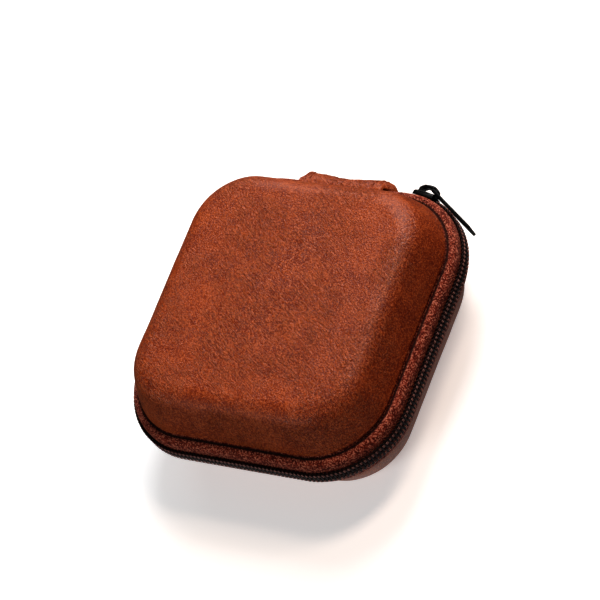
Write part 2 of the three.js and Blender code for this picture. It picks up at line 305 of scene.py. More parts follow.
# ---- Geometry Nodes trees ----
def start_tree(name, sockets):
    tree = bpy.data.node_groups.new(name, "GeometryNodeTree")
    tree.interface.new_socket("Geometry", in_out="INPUT", socket_type="NodeSocketGeometry")
    for label, kind in sockets:
        tree.interface.new_socket(label, in_out="INPUT", socket_type="NodeSocket" + kind)
    tree.interface.new_socket("Geometry", in_out="OUTPUT", socket_type="NodeSocketGeometry")
    return tree, tree.nodes.new("NodeGroupInput"), tree.nodes.new("NodeGroupOutput")


def add_node(tree, kind, settings=(), inputs=()):
    """One node: its settings first, then what each of its inputs holds or is linked from."""
    node = tree.nodes.new(kind)
    for key, value in dict(settings).items():
        setattr(node, key, value)
    for key, value in dict(inputs).items():
        if isinstance(value, bpy.types.NodeSocket):
            tree.links.new(value, node.inputs[key])
        else:
            node.inputs[key].default_value = value
    return node


def end_tree(tree, last, given, result):
    """Closes a tree: its copies become real and take the finish."""
    real = add_node(tree, "GeometryNodeRealizeInstances", inputs={"Geometry": last.outputs[0]})
    inputs = {"Geometry": real.outputs[0], "Material": given.outputs["Finish"]}
    finish = add_node(tree, "GeometryNodeSetMaterial", inputs=inputs)
    tree.links.new(finish.outputs[0], result.inputs[0])
    return tree


def row_tree():
    """Sets one piece again and again along a line, turned to follow it, with a little change of size."""
    name = "Row along a line"
    if name in bpy.data.node_groups:
        return bpy.data.node_groups[name]
    sockets = [("Piece", "Object"), ("Count", "Int"), ("Size change", "Float"), ("Seed", "Int")]
    tree, given, result = start_tree(name, [*sockets, ("Finish", "Material")])
    line = add_node(tree, "GeometryNodeMeshToCurve", inputs={"Mesh": given.outputs["Geometry"]})
    spaced = add_node(
        tree,
        "GeometryNodeResampleCurve",
        {"mode": "COUNT"},
        {"Curve": line.outputs["Curve"], "Count": given.outputs["Count"]},
    )
    ahead = add_node(tree, "GeometryNodeInputTangent")
    turned = add_node(
        tree,
        "FunctionNodeAlignRotationToVector",
        {"axis": "X", "pivot_axis": "Z"},
        {"Vector": ahead.outputs[0]},
    )
    change = given.outputs["Size change"]
    low = add_node(tree, "ShaderNodeMath", {"operation": "SUBTRACT"}, {0: 1.0, 1: change})
    size = add_node(
        tree,
        "FunctionNodeRandomValue",
        {"data_type": "FLOAT"},
        {2: low.outputs[0], 3: 1.0, "Seed": given.outputs["Seed"]},
    )
    piece = add_node(tree, "GeometryNodeObjectInfo", inputs={"Object": given.outputs["Piece"]})
    copies = add_node(
        tree,
        "GeometryNodeInstanceOnPoints",
        inputs={
            "Points": spaced.outputs["Curve"],
            "Instance": piece.outputs["Geometry"],
            "Rotation": turned.outputs[0],
            "Scale": size.outputs[1],
        },
    )
    return end_tree(tree, copies, given, result)


def net_tree():
    """Gives every edge of a net a thread of a set thickness."""
    sockets = [("Thread radius", "Float"), ("Sides", "Int"), ("Finish", "Material")]
    tree, given, result = start_tree("Threads on edges", sockets)
    line = add_node(tree, "GeometryNodeMeshToCurve", inputs={"Mesh": given.outputs["Geometry"]})
    profile = add_node(
        tree,
        "GeometryNodeCurvePrimitiveCircle",
        inputs={"Resolution": given.outputs["Sides"], "Radius": given.outputs["Thread radius"]},
    )
    threads = add_node(
        tree,
        "GeometryNodeCurveToMesh",
        inputs={
            "Curve": line.outputs["Curve"],
            "Profile Curve": profile.outputs["Curve"],
            "Fill Caps": True,
        },
    )
    return end_tree(tree, threads, given, result)


def grown(name, carrier, tree, values, material):
    """Runs a tree on the carrier and returns its result as a plain mesh object at the origin."""
    modifier = carrier.modifiers.new(name, "NODES")
    modifier.node_group = tree
    for item in tree.interface.items_tree:
        if item.in_out == "INPUT" and item.name in values:
            modifier[item.identifier] = values[item.name]
    bpy.context.view_layer.update()
    mesh = bpy.data.meshes.new_from_object(carrier.evaluated_get(bpy.context.evaluated_depsgraph_get()))
    mesh.name = name
    mesh.materials.clear()
    mesh.materials.append(material)
    mesh.polygons.foreach_set("use_smooth", [True] * len(mesh.polygons))
    carrier.modifiers.remove(modifier)
    bpy.data.objects.remove(carrier)
    obj = bpy.data.objects.new(name, mesh)
    bpy.context.scene.collection.objects.link(obj)
    return obj


def line_object(points):
    """A helper object that holds a chain of edges, in metres."""
    mesh = bpy.data.meshes.new("line")
    mesh.from_pydata((np.asarray(points) * MM).tolist(), [(i, i + 1) for i in range(len(points) - 1)], [])
    obj = bpy.data.objects.new("line", mesh)
    bpy.context.scene.collection.objects.link(obj)
    return obj


def row_along(name, points, count, unit, material, change=0.0, seed=1):
    """Copies of unit (vertices and faces in millimetres, x along the line) set along the points."""
    verts, faces = unit
    mesh = bpy.data.meshes.new("unit")
    mesh.from_pydata((np.asarray(verts) * MM).tolist(), [], [list(f) for f in faces])
    piece = bpy.data.objects.new("unit", mesh)
    bpy.context.scene.collection.objects.link(piece)
    values = {"Piece": piece, "Count": count, "Size change": change, "Seed": seed, "Finish": material}
    obj = grown(name, line_object(points), row_tree(), values, material)
    bpy.data.objects.remove(piece)
    return obj


def joined(name, objects):
    """One object from several, all at the origin."""
    shape = bmesh.new()
    material = objects[0].data.materials[0]
    for obj in objects:
        shape.from_mesh(obj.data)
        bpy.data.objects.remove(obj)
    mesh = bpy.data.meshes.new(name)
    shape.to_mesh(mesh)
    shape.free()
    mesh.materials.append(material)
    result = bpy.data.objects.new(name, mesh)
    bpy.context.scene.collection.objects.link(result)
    return result


# ---- Materials ----
class Value:
    """A shader socket that takes part in Python arithmetic; each operation adds a Math node."""

    def __init__(self, shader, socket):
        self.shader, self.socket = shader, socket

    def __add__(self, other):
        return self.shader.math("ADD", self, other)

    def __sub__(self, other):
        return self.shader.math("SUBTRACT", self, other)

    def __rsub__(self, other):
        return self.shader.math("SUBTRACT", other, self)

    def __mul__(self, other):
        return self.shader.math("MULTIPLY", self, other)

    def __truediv__(self, other):
        return self.shader.math("DIVIDE", self, other)

    def __pow__(self, other):
        return self.shader.math("POWER", self, other)

    def __neg__(self):
        return self.shader.math("MULTIPLY", self, -1.0)

    __radd__, __rmul__ = __add__, __mul__


class Shader:
    """One material on the Principled BSDF, with short ways to add the nodes it needs."""

    def __init__(self, name):
        self.material = bpy.data.materials.new(name)
        self.material.use_nodes = True
        self.tree = self.material.node_tree
        self.surface = self.tree.nodes["Principled BSDF"]
        self.object_place = self.node("ShaderNodeTexCoord", output="Object")
        self.map_place = None

    def node(self, kind, settings=(), inputs=(), output=0):
        node = self.tree.nodes.new(kind)
        for key, value in dict(settings).items():
            if key == "stops":
                self.set_stops(node.color_ramp, value)
            else:
                setattr(node, key, value)
        for key, value in dict(inputs).items():
            self.plug(value, node.inputs[key])
        return Value(self, node.outputs[output])

    @staticmethod
    def set_stops(ramp, stops):
        while len(ramp.elements) < len(stops):
            ramp.elements.new(0.5)
        for element, (position, level) in zip(ramp.elements, stops):
            element.position, element.color = position, (level, level, level, 1)

    def plug(self, value, socket):
        if isinstance(value, Value):
            self.tree.links.new(value.socket, socket)
        else:
            socket.default_value = value

    def math(self, operation, *values):
        return self.node("ShaderNodeMath", {"operation": operation}, dict(enumerate(values)))

    def noise(self, scale, detail=2.0, rough=0.5, place=None):
        inputs = {"Vector": place or self.object_place, "Scale": scale, "Detail": detail, "Roughness": rough}
        return self.node("ShaderNodeTexNoise", inputs=inputs)

    def cells(self, scale, feature="F1", place=None, output="Distance"):
        inputs = {"Vector": place or self.object_place, "Scale": scale}
        return self.node("ShaderNodeTexVoronoi", {"feature": feature}, inputs, output)

    def stretched(self, turn, scale):
        inputs = {"Vector": self.object_place, "Rotation": (0, 0, turn), "Scale": scale}
        return self.node("ShaderNodeMapping", {"vector_type": "TEXTURE"}, inputs)

    def levels(self, value, low, high):
        """0 below low, 1 above high, smooth between."""
        inputs = {"Value": value, "From Min": low, "From Max": high}
        return self.node("ShaderNodeMapRange", {"interpolation_type": "SMOOTHSTEP", "clamp": True}, inputs)

    def blend(self, share, first, second):
        inputs = {0: share, 6: first, 7: second}
        return self.node("ShaderNodeMix", {"data_type": "RGBA"}, inputs, 2)

    def relief(self, height, distance, strength=1.0, below=None):
        inputs = {"Height": height, "Distance": distance, "Strength": strength}
        if below is not None:
            inputs["Normal"] = below
        return self.node("ShaderNodeBump", inputs=inputs, output="Normal")

    def arch(self, value):
        """A row of round arches, one for each whole step of value."""
        return self.math("ABSOLUTE", self.math("SINE", value * math.pi))

    def uv(self):
        """The piece's own map, whose u runs along and v across, in millimetres."""
        place = self.node("ShaderNodeUVMap", {"uv_map": "UVMap"})
        parts = self.tree.nodes.new("ShaderNodeSeparateXYZ")
        self.plug(place, parts.inputs[0])
        return Value(self, parts.outputs[0]), Value(self, parts.outputs[1])

    def speck(self, u, v):
        """A random level for each whole (u, v)."""
        pair = self.node("ShaderNodeCombineXYZ", inputs={0: self.math("FLOOR", u), 1: self.math("FLOOR", v)})
        return self.node("ShaderNodeTexWhiteNoise", {"noise_dimensions": "2D"}, {"Vector": pair})

    def finish(self, **sockets):
        for key, value in sockets.items():
            self.plug(value, self.surface.inputs[key.replace("_", " ")])
        return self.material


def rgba(colour, times=1.0):
    return (*(channel * times for channel in colour[:3]), 1.0)


def leather_finish(look):
    """Mottled, waxed brown leatherette: fine pebbles, hair creases in drifts, and lighter specks and creases
    that are partly grain colour and partly painted glint.
    """
    m = Shader("Leatherette")
    cloud = m.noise(45, 3, 0.55)
    patch = m.noise(230, 4, 0.65)
    pores = m.noise(2100, 2, 0.6)
    tone = m.levels(cloud * 0.7 + patch * 0.3, 0.32, 0.6)
    colour = m.blend(tone, rgba(look.leather_dark), rgba(look.leather))
    pebbles = m.cells(2100, "SMOOTH_F1")
    fine = m.cells(3600)
    hair = m.noise(480, 3, 0.6, m.stretched(look.crease_turn, (1.0, 0.15, 0.5)))
    crease = m.levels(hair, 0.48, 0.66) * m.levels(m.noise(60, 2), 0.36, 0.6)
    # Partly painted glint: these lighter specks, and the lighter creases below, give the grain's own colour
    # and also stand in for its sparkle.
    light = m.levels(pores * 0.7 + fine * 0.45 + patch * 0.2, 0.6, 0.84)
    colour = m.blend(light * 0.75, colour, rgba(look.leather_light_and_glint))
    colour = m.blend(crease * 0.6, colour, rgba(look.leather_light_and_glint))
    colour = m.blend(m.levels(pores + patch * 0.3, 0.66, 0.5) * 0.6, colour, rgba(look.leather_dark))
    normal = m.relief(pebbles * 0.7 + fine * 0.5 + pores * 0.4, 0.00024, 0.8)
    normal = m.relief(crease, 0.00028, 0.9, normal)
    rough = 0.28 + 0.1 * tone + 0.12 * pores
    return m.finish(
        Base_Color=colour,
        Roughness=rough,
        Normal=normal,
        Coat_Weight=0.08,
        Coat_Roughness=0.3,
        Specular_IOR_Level=0.38,
    )


def weave_finish(name, dark, body, fleck, pitch, flecks=0.3, depth=0.00012, twill=0.5, ribs=0.0, fold=()):
    """Cloth woven from threads of uneven colour, on the piece's own map, with painted shade along the lines
    given in fold.
    """
    m = Shader(name)
    u, v = m.uv()
    row = v / pitch[1]
    column = u / pitch[0] + m.math("FLOOR", row) * twill
    level = m.speck(column, row)
    if ribs:
        level = level * (1 - ribs) + ribs * (0.5 + 0.5 * m.math("SINE", (u + v * 0.8) * 6.2))
    wide = m.noise(500, 2)
    colour = m.blend(m.levels(level * 0.7 + wide * 0.3, 0.25, 0.65), rgba(dark), rgba(body))
    colour = m.blend(m.levels(level, 1 - flecks, 1.0) * 0.9, colour, rgba(fleck))
    # Painted shade: along each fold the colour is darkened towards a fifth of dark, where the leather's lip
    # shades the tape.
    for at in fold:
        painted_fold_shade = m.levels(m.math("ABSOLUTE", v - at), 0.6, 0.15)
        colour = m.blend(painted_fold_shade * 0.9, colour, rgba(dark, 0.2))
    bump = m.arch(column) * m.arch(row)
    fuzz = m.noise(9000, 2)
    normal = m.relief(bump ** 0.6 + fuzz * 0.25, depth, 0.9)
    rough = 0.72 + 0.2 * fuzz
    return m.finish(
        Base_Color=colour, Roughness=rough, Normal=normal, Sheen_Weight=0.06, Specular_IOR_Level=0.2
    )


def knit_finish(look):
    """Brushed black knit: short nap with a faint stitch."""
    m = Shader("Lining knit")
    nap = m.noise(5200, 3, 0.65)
    loops = m.cells(1250, "F1")
    wear = m.noise(90, 2)
    shade = m.levels(nap * 0.7 + wear * 0.3, 0.3, 0.75)
    colour = m.blend(shade, rgba(look.lining, 0.55), rgba(look.lining, 1.9))
    normal = m.relief(nap * 0.7 + loops * 0.6, 0.00018, 0.7)
    rough = 0.85 + 0.1 * nap
    return m.finish(
        Base_Color=colour, Roughness=rough, Normal=normal, Sheen_Weight=0.15, Specular_IOR_Level=0.2
    )


def foam_finish():
    m = Shader("Moulded foam")
    bubbles = m.cells(2600, "F1")
    shade = m.noise(320, 3)
    colour = m.blend(shade, (0.018, 0.018, 0.02, 1), (0.05, 0.05, 0.054, 1))
    return m.finish(Base_Color=colour, Roughness=0.8 + 0.15 * shade, Normal=m.relief(bubbles, 0.00012, 0.6))


def nylon_finish(zip_look):
    """Drawn monofilament: dark, slightly clear, with die lines and dye that varies along it."""
    m = Shader("Nylon coil")
    dye = m.noise(900, 2)
    scuff = m.noise(6500, 2)
    colour = m.blend(m.levels(dye, 0.35, 0.7), rgba(zip_look.coil, 0.5), rgba(zip_look.coil, 1.5))
    normal = m.relief(scuff, 0.00002, 0.4)
    return m.finish(Base_Color=colour, Roughness=0.3 + 0.2 * scuff, Normal=normal, Specular_IOR_Level=0.3)


def thread_finish(name, colour):
    m = Shader(name)
    ply = m.noise(4200, 3, 0.7)
    shade = m.blend(m.levels(ply, 0.3, 0.7), rgba(colour, 0.55), rgba(colour, 1.35))
    normal = m.relief(ply, 0.00005, 0.7)
    return m.finish(Base_Color=shade, Roughness=0.6 + 0.2 * ply, Normal=normal, Specular_IOR_Level=0.25)


def enamel_finish(zip_look):
    """Black enamel on a die cast slider, a little uneven and polished by handling."""
    m = Shader("Black enamel")
    flow = m.noise(420, 2)
    dust = m.noise(5200, 3)
    rub = m.levels(m.noise(260, 3), 0.5, 0.75)
    colour = m.blend(rub * 0.5, rgba(zip_look.enamel), rgba(zip_look.enamel, 2.2))
    return m.finish(
        Base_Color=colour,
        Roughness=0.3 + 0.14 * rub + 0.08 * dust,
        Normal=m.relief(flow + dust * 0.15, 0.00005, 0.5),
        Coat_Weight=0.08,
        Coat_Roughness=0.15,
        Specular_IOR_Level=0.2,
    )


# ---- Settings ----
def colour_setting(name, description, default):
    return FloatVectorProperty(
        name=name, description=description, default=default, subtype="COLOR", min=0, max=1
    )


def number_setting(name, description, default, low=0.0, **more):
    return FloatProperty(name=name, description=description, default=default, min=low, **more)


class CaseLook(bpy.types.PropertyGroup):
    """Colours and sizes of the leatherette, lining and pocket."""

    leather: colour_setting("Leatherette", "Main colour of the shells", (0.27, 0.045, 0.005))
    leather_dark: colour_setting("Leatherette, dark", "Colour of the darker clouds", (0.17, 0.022, 0.004))
    # Partly painted glint: the light colour of the specks and creases also stands in for the grain's
    # sparkle.
    leather_light_and_glint: colour_setting("Leatherette, light", "Colour on the pebbles' tops", (0.56, 0.15, 0.045))
    crease_turn: number_setting(
        "Crease direction", "Turn of the hair creases", math.radians(-34), -math.pi, subtype="ANGLE"
    )
    ripple: number_setting("Ripple", "Unevenness of the moulded shells, in millimetres", 0.16)
    lining: colour_setting("Lining", "Colour of the knitted lining", (0.014, 0.014, 0.016))
    net: colour_setting("Net", "Colour of the pocket's net", (0.012, 0.012, 0.013))
    net_cell: number_setting("Net cell", "Width of one cell of the net, in millimetres", 1.9, 0.8)
    gusset_thread: colour_setting("Seam thread", "Thread of the gusset's seams", (0.24, 0.07, 0.03))


class ZipLook(bpy.types.PropertyGroup):
    """Colours and sizes of the zip."""

    pitch: number_setting("Coil pitch", "Length of one turn of the coil, in millimetres", 1.15, 0.8)
    filament: number_setting("Filament", "Radius of the coil's filament, in millimetres", 0.23, 0.1)
    tape: colour_setting("Tape", "Main colour of the woven tape", (0.36, 0.075, 0.042))
    # tape_dark also gives, at a fifth, the painted shade along the tape's folds.
    tape_dark: colour_setting("Tape, dark", "Colour of the tape's shaded threads", (0.1, 0.014, 0.008))
    tape_fleck: colour_setting("Tape, fleck", "Colour of the tape's bright threads", (0.72, 0.29, 0.19))
    coil: colour_setting("Coil", "Colour of the nylon filament", (0.022, 0.006, 0.005))
    thread: colour_setting("Sewing thread", "Thread that holds the coil to the tape", (0.5, 0.27, 0.24))
    enamel: colour_setting("Enamel", "Colour of the slider and tab", (0.003, 0.003, 0.0035))


class StageLook(bpy.types.PropertyGroup):
    """Floor, lights and camera."""

    floor: colour_setting("Floor", "Colour of the floor", (0.93, 0.93, 0.93))
    key: number_setting("Key light", "Power of the main softbox", 3.5, unit="POWER")
    back: number_setting("Back light", "Power of the softbox behind", 2.8, unit="POWER")
    fill: number_setting("Fill light", "Power of the low softbox", 3.0, unit="POWER")
    ridge: number_setting("Ridge light", "Power of the narrow softbox", 2.7, unit="POWER")
    bounce: number_setting("Bounce", "Power of the light from the floor", 4.0, unit="POWER")
    sky: number_setting("Surrounding light", "Strength of the even light", 0.06)
    glow: number_setting("Floor glow", "Light the floor gives off by itself", 0.28)
    lens: number_setting("Lens", "Focal length of the camera, in millimetres", 210.05, 20.0)
    seed: IntProperty(name="Seed", description="Seed of the sewn rows' small changes", default=7, min=0)


# ---- Pieces ----
def shells(look):
    leather = leather_finish(look)
    for side in (LID, BASE):
        tuck = [(34.6, 5.18), (35.6, 5.14), (36.35, 5.16), (36.78, 5.3), (36.98, 5.62)]
        outer = [(r, h, 1.0) for r, h in tuck] + shell_line(0.0, 5.95, 12)
        inner = [(34.6, 5.62, 1.0)] + shell_line(0.62, 5.7, 6)
        skin = dome(f"{BODY[side]}_leather", outer, inner, side, leather, look.ripple)
        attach(skin, BODY[side])
        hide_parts(f"{BODY[side]}_skin")


def linings(look):
    knit = knit_finish(look)
    for side in (LID, BASE):
        body = BODY[side]
        outer = shell_line(3.02, 4.6, 6, 0.1)
        inner = shell_line(3.5, 4.6, 6, 0.1)
        cloth = dome(f"{body}_lining_cloth", outer, inner, side, knit, look.ripple * 0.5)
        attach(cloth, body)
        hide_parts(f"{body}_lining")


def foam_cores():
    foam = foam_finish()
    for body in ("lid", "base"):
        node = NODES[f"{body}_core"]
        node.material_slots[0].material = foam


def bindings():
    ribbon = weave_finish("Ribbon", (0.006,) * 3, (0.016,) * 3, (0.05,) * 3, (0.5, 0.3), 0.2, 0.0001, 0.0)
    thread = thread_finish("Rim thread", (0.03, 0.03, 0.034))
    ring_steps, line_steps, stitches = 260, 900, 110
    for side in (LID, BASE):
        body = BODY[side]
        middle = [
            (34.9, 4.18), (34.0, 4.12), (33.2, 4.14), (32.75, 4.5), (32.6, 5.2),
            (wall_r(7.2, 3.95), 7.2), (wall_r(9, 3.9), 9.0),
        ]
        s = np.arange(ring_steps) / ring_steps * AROUND
        band = sweep(f"{body}_binding", ribbon_line(middle, 0.4, 22), s, side, ribbon, closed=True)
        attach(band, body)
        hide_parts(f"{body}_rim_binding")
        stitch = tube([(x, 0, 0) for x in (-0.85, -0.6, 0, 0.6, 0.85)], [0.05, 0.13, 0.15, 0.13, 0.05], 6)
        rows = []
        for h, r in ((8.3, wall_r(8.3, 4.12)), (5.3, 32.33)):
            path = np.linspace(0, AROUND, line_steps)
            line = places(path, np.full(line_steps, r), h, side)
            rows.append(row_along("stitch", line, stitches, stitch, thread, 0.12, 3))
        seam = joined(f"{body}_binding_stitches", rows)
        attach(seam, body)


TAPE_MIDDLE = [
    (34.4, 4.72), (35.8, 4.65), (36.9, 4.3), (37.6, 4.38), (38.4, 4.3), (39.02, 3.6), (39.22, 2.7),
    (39.22, 1.8), (39.2, 0.62),
]


def tapes(zip_look):
    """The woven tape on each side of the zip. The lid's stops short of the parked slider."""
    colours = (zip_look.tape_dark, zip_look.tape, zip_look.tape_fleck)
    # fold places the painted shade lines in the tape's two folds, under the leather's lip.
    cloth = weave_finish("Zip tape", *colours, (0.3, 0.28), 0.45, ribs=0.12, fold=(3.1, 13.75))
    line = ribbon_line(TAPE_MIDDLE, 0.55, 26)
    short = ribbon_line([p for p in TAPE_MIDDLE if p[1] > 3.5] + [(39.15, 3.2)], 0.55, 26)
    start, end = GUSSET_X[1] - 0.8, BACK_LEFT + 0.8
    for side in (LID, BASE):
        body = BODY[side]
        if side == BASE:
            runs = [(start, end, line)]
        else:
            runs = [(start, PARKED_X[0], line), (PARKED_X[0], PARKED_X[1], short), (PARKED_X[1], end, line)]
        parts = []
        for first, last, profile in runs:
            s = np.linspace(first, last, max(6, int((last - first) / 0.9)))
            parts.append(sweep("tape", profile, s, side, cloth))
        strip = joined(f"{body}_tape", parts)
        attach(strip, body)
        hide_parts(f"{body}_zipper_tape")


def tooth(pitch, radius, side):
    """One turn of the coil: a leg, the head that interlocks, the other leg, the bend to the next turn."""
    a = 0.26
    points = [
        (0, -a, 1.55), (0, -a, 0.9), (0, -a, 0.25), (0, -a * 0.85, -0.35), (0, 0, -0.56),
        (0, a * 0.85, -0.35), (0, a, 0.25), (0, a, 0.9), (0, a, 1.55),
        (pitch * 0.25, a * 0.75, 1.72), (pitch * 0.5, 0, 1.78), (pitch * 0.75, -a * 0.75, 1.72),
        (pitch, -a, 1.55),
    ]
    swell = [1, 1, 1.02, 1.1, 1.16, 1.1, 1.02, 1, 1, 1, 1, 1, 1]
    verts, faces = tube([(x, y, z * side) for x, y, z in points], np.array(swell) * radius, 6)
    return verts, faces


def chain(zip_look, seed):
    """The two nylon coils, interlocked along the parting plane, and the thread that sews each one on."""
    nylon = nylon_finish(zip_look)
    thread = thread_finish("Zip thread", zip_look.thread)
    pitch, coil_r, end_gap = zip_look.pitch, 39.95, 0.9
    seam_r, seam_heights = coil_r + 0.4, (0.95, 1.45)
    bow = [(-0.36, -0.08, 0), (-0.2, 0.02, 0), (0, 0.06, 0), (0.2, 0.02, 0), (0.36, -0.08, 0)]
    stitch = tube(bow, [0.06, 0.11, 0.12, 0.11, 0.06], 5)
    for side in (LID, BASE):
        body = BODY[side]
        stagger = 0 if side == LID else pitch / 2
        turns = np.arange(GUSSET_X[1] + end_gap, BACK_LEFT - end_gap, pitch) + stagger
        runs = [turns]
        if side == LID:
            runs = [turns[turns < PARKED_X[0] - pitch], turns[turns > PARKED_X[1] + 0.5]]
        coils, seams = [], []
        for run in runs:
            s = np.linspace(run[0], run[-1], len(run) * 4)
            line = places(s, np.full(len(s), coil_r), 0.0, side)
            coils.append(row_along("coil", line, len(run), tooth(pitch, zip_look.filament, side), nylon))
            for h in seam_heights:
                path = places(s + pitch / 2, np.full(len(s), seam_r), h, side)
                seams.append(row_along("stitch", path, len(run), stitch, thread, 0.18, seed))
        half = joined(f"{body}_coil", coils)
        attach(half, body)
        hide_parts(f"{body}_zipper_coil")
        sewing = joined(f"{body}_coil_stitches", seams)
        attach(sewing, body)


GUSSET_MIDDLE = [
    (34.6, 4.95), (36.4, 5.0), (38.2, 5.0), (39.8, 4.6), (41.1, 3.7), (42.1, 2.3), (42.5, 0.8), (42.5, -0.8),
    (42.1, -2.3), (41.1, -3.7), (39.8, -4.6), (38.2, -5.0), (36.4, -5.0), (34.6, -4.95),
]
STRIP_X = (-16.0, 13.2)
CREST = [  # how far out the strip's crest stands along the back: a rolled end, a slack middle, a tucked end
    (-16.0, 39.9), (-15.6, 41.2), (-15.0, 42.2), (-14.2, 42.75), (-13.2, 42.85), (-12.2, 42.7), (-7.6, 42.4),
    (-1.2, 41.8), (4.6, 42.4), (8.5, 42.7), (10.4, 42.6), (11.6, 42.1), (12.5, 41.2), (13.2, 39.9),
]


def gusset(look):
    """One strip of leatherette, sewn to both shells at the back and built in one shape; on the case it folds
    as the lid turns.
    """
    leather = bpy.data.materials["Leatherette"]
    knit = bpy.data.materials["Lining knit"]
    thread = thread_finish("Gusset thread", look.gusset_thread)
    left, right = STRIP_X
    xs = np.unique(np.concatenate([np.linspace(left, right, 110), left + np.linspace(0, 1.6, 14)]))
    crest = smooth_line(CREST, 300)
    middle_x = (left + right) / 2

    def warp(ring, x):
        """Rolls the strip's ends in, lets its middle sag and draws it in towards both seams."""
        h = ring[:, 2] - HALF
        weight = np.clip(1 - (np.abs(h) / 5.2) ** 3, 0, 1) * np.clip((ring[:, 1] - 36.5) / 4, 0, 1)
        drape = 0.14 * noise.noise(Vector((x * 0.33, 4.1, 0))) + 0.1 * noise.noise(Vector((x * 0.8, 9.3, 0)))
        fine = np.array([noise.noise(Vector((x * 0.5, a * 0.6, 2.0))) for a in h])
        stand = np.interp(x, crest[:, 0], crest[:, 1]) - 42.5
        ring[:, 1] += weight * (stand + drape + fine * 0.22)
        ring[:, 0] = middle_x + (x - middle_x) * (1 - 0.15 * np.minimum(1, np.abs(h) / 4) ** 1.5)
        return ring

    strip = sweep("gusset_leather", ribbon_line(GUSSET_MIDDLE, 0.7, 46), xs, LID, leather, warp=warp)
    # The fold's place and the heights either side of it, in metres.
    fold_y, fold_z = 0.0431, (HALF - 1.5) * MM
    low, high = fold_z - 0.0024, fold_z + 0.0024
    start, end = (0, fold_y, low), (0, fold_y, high)
    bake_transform(strip)
    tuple(start)
    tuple(end)
    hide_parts("hinge_gusset_lid", "hinge_gusset_base")
    seams = []
    inset, lift, stitch_step, stitch_half = 3.4, 0.4, 1.9, 0.65
    for x in (left + inset, right - inset):
        edge = smooth_line(GUSSET_MIDDLE, 60)[12:-12]
        outward = np.gradient(edge, axis=0)
        outward = np.stack([-outward[:, 1], outward[:, 0]], -1) / np.linalg.norm(outward, axis=1)[:, None]
        if outward[len(outward) // 2, 0] < 0:
            outward = -outward
        ring = places(np.full(len(edge), x), edge[:, 0], edge[:, 1], LID)
        ring = warp(ring, x)
        ring[:, 1:] += outward * lift
        seams.append(ring)
    parts = []
    for ring in seams:
        steps = np.concatenate([[0], np.cumsum(np.linalg.norm(np.diff(ring, axis=0), axis=1))])
        for at in np.arange(1.0, steps[-1] - 1.0, stitch_step):
            along = np.linspace(at - stitch_half, at + stitch_half, 5)
            thread_line = np.stack([np.interp(along, steps, ring[:, k]) for k in range(3)], -1)
            parts.append(tube(thread_line, [0.07, 0.13, 0.15, 0.13, 0.07], 6))
    verts = np.concatenate([p[0] for p in parts])
    faces, offset = [], 0
    for part_verts, part_faces in parts:
        faces += [tuple(i + offset for i in f) for f in part_faces]
        offset += len(part_verts)
    sewing = new_object("gusset_stitches", verts, faces, thread)
    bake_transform(sewing)
    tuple(start)
    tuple(end)
    upper = [(36.4, 4.35), (37.2, 3.9), (37.45, 2.0)]
    middle = [*upper, (37.5, 0.0), *[(r, -h) for r, h in upper[::-1]]]
    end_gap, lining_y = 0.6, 0.0373
    run = np.linspace(GUSSET_X[0] + end_gap, GUSSET_X[1] - end_gap, 40)
    inside = sweep("gusset_lining", ribbon_line(middle, 0.4, 26), run, LID, knit)
    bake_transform(inside)
    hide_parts("hinge_lining_lid", "hinge_lining_base")


